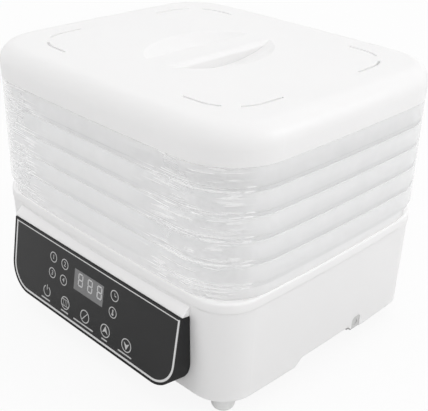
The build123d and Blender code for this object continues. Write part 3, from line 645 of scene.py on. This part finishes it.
def lay(piece, name, finish, lift=0.0, thickness=INK):
    """Gives a flat mark its thickness, lays it on the panel's face and lets it ride on the base."""
    edit(piece)
    bpy.ops.mesh.normals_make_consistent(inside=False)
    bpy.ops.object.mode_set(mode="OBJECT")
    layer = piece.modifiers.new("ink", "SOLIDIFY")
    layer.thickness = thickness
    layer.offset = 1 if piece.data.polygons[0].normal.z > 0 else -1
    bpy.ops.object.modifier_apply(modifier=layer.name)
    piece.matrix_world = PANEL_FACE @ Matrix.Translation((0, 0, lift - INK_SUNK)) @ piece.matrix_world
    bpy.ops.object.transform_apply(location=True, rotation=True, scale=True)
    edit(piece)
    bpy.ops.mesh.normals_make_consistent(inside=False)
    bpy.ops.object.mode_set(mode="OBJECT")
    piece.name = name
    piece.data.name = name
    piece.data.materials.clear()
    piece.data.materials.append(finish)
    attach(piece, "base")
    print(name, len(piece.data.polygons), "faces")
    return piece


# %% [markdown]
# ## Ink and display finishes
# Screen ink is a pale grey, nearly matt, thin enough to show a little of the dark sheet, so its tone
# wanders. The display's window is a smoky lens over lit digits: grey, a little brighter towards its
# upper left corner, glossy.

# %% Make the print finishes
INK_PALE = skin_material("pale_ink", (0.5, 0.5, 0.5), rough=0.5, drift=0.1, uneven=0.08, grain=3000)
INK_LINE = skin_material("line_ink", (0.66, 0.66, 0.66), rough=0.5, drift=0.06, uneven=0.08, grain=3000)
DIGIT = skin_material("digit_glow", (0.5, 0.5, 0.505), rough=0.4, drift=0.08, grain=2000, depth=0.01)
WINDOW_SMOKE, WINDOW_BRIGHT = (0.17, 0.17, 0.172), (0.3, 0.3, 0.303, 1)


def window_material():
    """The display's smoky lens, brighter towards its upper left."""
    material = skin_material("display_window", WINDOW_SMOKE, rough=0.25, drift=0.12, grain=1200, depth=0.004)
    tree = material.node_tree
    skin = next(node for node in tree.nodes if node.type == "GROUP")
    place = tree.nodes.new("ShaderNodeTexCoord")
    spread = add_node(tree, "ShaderNodeMapping", Location=(0.012, 0.0, -0.075), Scale=(28, 0, 28))
    ball = add_node(tree, "ShaderNodeTexGradient", gradient_type="SPHERICAL")
    blend = add_node(tree, "ShaderNodeMix", data_type="RGBA")
    blend.inputs[COLOUR_B].default_value = WINDOW_BRIGHT
    tree.links.new(place.outputs["Object"], spread.inputs["Vector"])
    tree.links.new(spread.outputs["Vector"], ball.inputs["Vector"])
    tree.links.new(ball.outputs["Fac"], blend.inputs["Factor"])
    tree.links.new(skin.outputs["Color"], blend.inputs[COLOUR_A])
    tree.links.new(blend.outputs[COLOUR_OUT], tree.nodes["Principled BSDF"].inputs["Base Color"])
    return material


WINDOW = window_material()
print("ink, digit and window finishes made")

# %% [markdown]
# ## The pale line
# The line follows the panel's outline: nearly square corners at the top, wide round ones at the bottom.
# It could be a curve with a width, but a plane with bevelled corners and an inset gives the same line
# with fewer faces.

# %% Draw the line round the panel
LINE_IN, LINE_WIDTH = 2.3, 1.9
FACE_WIDTH, FACE_HEIGHT = 223.8, 68.8
LINE_LOWER_ROUND, LINE_UPPER_ROUND = 23.7, 0.6

deselect()
bpy.ops.mesh.primitive_plane_add(size=1, location=(0, -FACE_HEIGHT / 2 * MM, 0))
outline = bpy.context.object
outline.scale = ((FACE_WIDTH - 2 * LINE_IN) * MM, (FACE_HEIGHT - 2 * LINE_IN) * MM, 1)
bpy.ops.object.transform_apply(location=False, rotation=False, scale=True)
edit(outline, "VERT")
pick(outline, "VERT", lambda at: at.y < 0)
bpy.ops.mesh.bevel(affect="VERTICES", offset=LINE_LOWER_ROUND * MM, segments=20)
pick(outline, "VERT", lambda at: at.y > (FACE_HEIGHT / 2 - LINE_IN - 0.01) * MM)
bpy.ops.mesh.bevel(affect="VERTICES", offset=LINE_UPPER_ROUND * MM, segments=3)
bpy.ops.object.mode_set(mode="OBJECT")
lay(hollow(outline, LINE_WIDTH), "panel_line", INK_LINE)

# %% [markdown]
# ## The display
# Three seven-segment digits behind a smoky window. One segment is drawn, a bar with pointed ends, and
# copied to its seven places in each digit, all lit, the way a display shows itself when it is switched
# on.

# %% Draw the window and the digits
WINDOW_X, WINDOW_Y = -0.1, -24.2
WINDOW_WIDTH, WINDOW_HEIGHT = 39.6, 19.4
DIGIT_X = (-11.1, 1.9, 14.7)
DIGIT_Y = -22.6
SEGMENT_LENGTH, SEGMENT_WIDTH = 5.2, 1.3

window = bar(WINDOW_X, WINDOW_Y, WINDOW_WIDTH, WINDOW_HEIGHT, corner=0.02, steps=2)
lay(window, "display_window", WINDOW)

half, lean = SEGMENT_LENGTH / 2 + 0.15, radians(90)
segment_places = [(0, 0, 0), (0, 2 * half, 0), (0, -2 * half, 0), (half, half, lean), (half, -half, lean),
                  (-half, half, lean), (-half, -half, lean)]
first = bar(0, 0, SEGMENT_LENGTH, SEGMENT_WIDTH, corner=0.5, steps=1)
copies = []
for digit_x in DIGIT_X:
    for x, y, turn in segment_places:
        deselect()
        first.select_set(True)
        bpy.context.view_layer.objects.active = first
        bpy.ops.object.duplicate(linked=False)
        copy = bpy.context.object
        copy.location = ((digit_x + x) * MM, (DIGIT_Y + y) * MM, 0)
        copy.rotation_euler = (0, 0, turn)
        copies.append(copy)
bpy.data.objects.remove(first)
lay(join(copies), "display_digits", DIGIT, lift=INK)

# %% [markdown]
# ## The signs
# Four numbered rings for the programmes, a clock and a thermometer beside the display, and five keys
# along the bottom: power, trays, a slashed ring for the units, and an arrow each way. Rings are discs
# with the middle opened, and the power ring loses the faces near its top. The numbers are Blender's own
# lettering turned into a mesh.

# %% Draw the programme and reading signs
SIGN_RADIUS, SIGN_LINE, NUMERAL_SIZE = 4.9, 0.75, 6.2
PROGRAM_PLACES = [(-51.0, -17.25), (-34.4, -17.3), (-51.4, -32.6), (-34.8, -32.65)]


def numeral(text, x, y, size):
    """A number drawn flat, its middle at x and y."""
    deselect()
    bpy.ops.object.text_add(location=(x * MM, y * MM, 0))
    word = bpy.context.object
    word.data.body = text
    word.data.size = size * MM
    word.data.align_x = "CENTER"
    word.data.align_y = "CENTER"
    bpy.ops.object.convert(target="MESH")
    return bpy.context.object


signs = []
for number, (x, y) in enumerate(PROGRAM_PLACES, 1):
    signs += [hollow(disc(x, y, SIGN_RADIUS), SIGN_LINE), numeral(str(number), x, y, NUMERAL_SIZE)]
lay(join(signs), "programme_signs", INK_PALE)

CLOCK_X, CLOCK_Y = 33.8, -16.8
HEAT_X, HEAT_Y = 33.4, -32.2
READING_RADIUS = SIGN_RADIUS + 0.1
signs = [hollow(disc(CLOCK_X, CLOCK_Y, READING_RADIUS), SIGN_LINE)]
signs += [bar(CLOCK_X, CLOCK_Y + 1.1, 0.8, 3.0, corner=0.3)]
signs += [bar(CLOCK_X + 0.9, CLOCK_Y - 0.1, 2.4, 0.8, corner=0.3)]
signs += [hollow(disc(HEAT_X, HEAT_Y, READING_RADIUS), SIGN_LINE)]
signs += [bar(HEAT_X, HEAT_Y + 0.7, 1.2, 4.0, corner=0.1), disc(HEAT_X, HEAT_Y - 1.6, 1.25, 20)]
lay(join(signs), "reading_signs", INK_PALE)

# %% Draw the five keys
KEY_RADIUS, KEY_LINE, KEY_Y = 6.0, 0.85, -52.7
KEY_X = {"power": -57.3, "trays": -29.8, "units": -1.7, "up": 26.3, "down": 53.9}
ARROW_SIZE, ARROW_NOTCH, ARROW_SHAPE = 4.8, 0.45, (0.85, 0.97, 1)


def arrow_head(x, y, size, turn):
    """A notched arrow head: a triangle whose base is pulled in at its middle."""
    deselect()
    bpy.ops.mesh.primitive_circle_add(vertices=3, radius=size * MM, fill_type="NGON",
                                      location=(x * MM, y * MM, 0), rotation=(0, 0, turn))
    piece = bpy.context.object
    edit(piece, "EDGE")
    bpy.ops.mesh.subdivide(number_cuts=1)
    pick(piece, "VERT", lambda at: abs(at.x) < 0.1 * MM and at.y < 0)
    bpy.ops.transform.translate(value=(0, size * ARROW_NOTCH * MM, 0), orient_type="LOCAL")
    bpy.ops.object.mode_set(mode="OBJECT")
    piece.scale = ARROW_SHAPE
    bpy.ops.object.transform_apply(location=False, rotation=False, scale=True)
    return piece


power = hollow(disc(KEY_X["power"], KEY_Y - 0.4, KEY_RADIUS - 0.7), KEY_LINE)
edit(power)
pick(power, "FACE", lambda at: at.y > 0 and abs(at.x) < 0.5 * at.y)
bpy.ops.mesh.delete(type="FACE")
bpy.ops.object.mode_set(mode="OBJECT")
signs = [power, bar(KEY_X["power"], KEY_Y + 3.4, 0.9, 5.4, corner=0.1)]

for key in ("trays", "units", "up", "down"):
    signs += [hollow(disc(KEY_X[key], KEY_Y, KEY_RADIUS + 0.1), KEY_LINE)]
for step in (-2.4, 0, 2.4):
    signs += [bar(KEY_X["trays"] + step, KEY_Y, 0.75, 7.4, turn=radians(-6), corner=0.2)]
for step in (-2.9, 2.9):
    signs += [bar(KEY_X["trays"], KEY_Y + step, 9.2, 0.6, corner=0.2)]
signs += [bar(KEY_X["units"], KEY_Y, 11.6, 0.75, turn=radians(48), corner=0.2)]
signs += [arrow_head(KEY_X["up"], KEY_Y - 0.3, ARROW_SIZE, 0)]
signs += [arrow_head(KEY_X["down"], KEY_Y + 0.3, ARROW_SIZE, pi)]
lay(join(signs), "key_signs", INK_PALE)

# %% [markdown]
# ## Dashes under the keys
# Each key has a short printed dash below it. They are rounded bars, made with the same tool as the
# signs' strokes.

# %% Draw the dashes
DASH_Y, DASH_HEIGHT = -61.2, 1.3
DASHES = [(-58.4, 13.0), (-29.9, 10.6), (-3.0, 27.6), (26.2, 7.6), (52.9, 17.2)]  # middle and length
dashes = [bar(x, DASH_Y, length, DASH_HEIGHT) for x, length in DASHES]
lay(join(dashes), "key_dashes", INK_PALE)
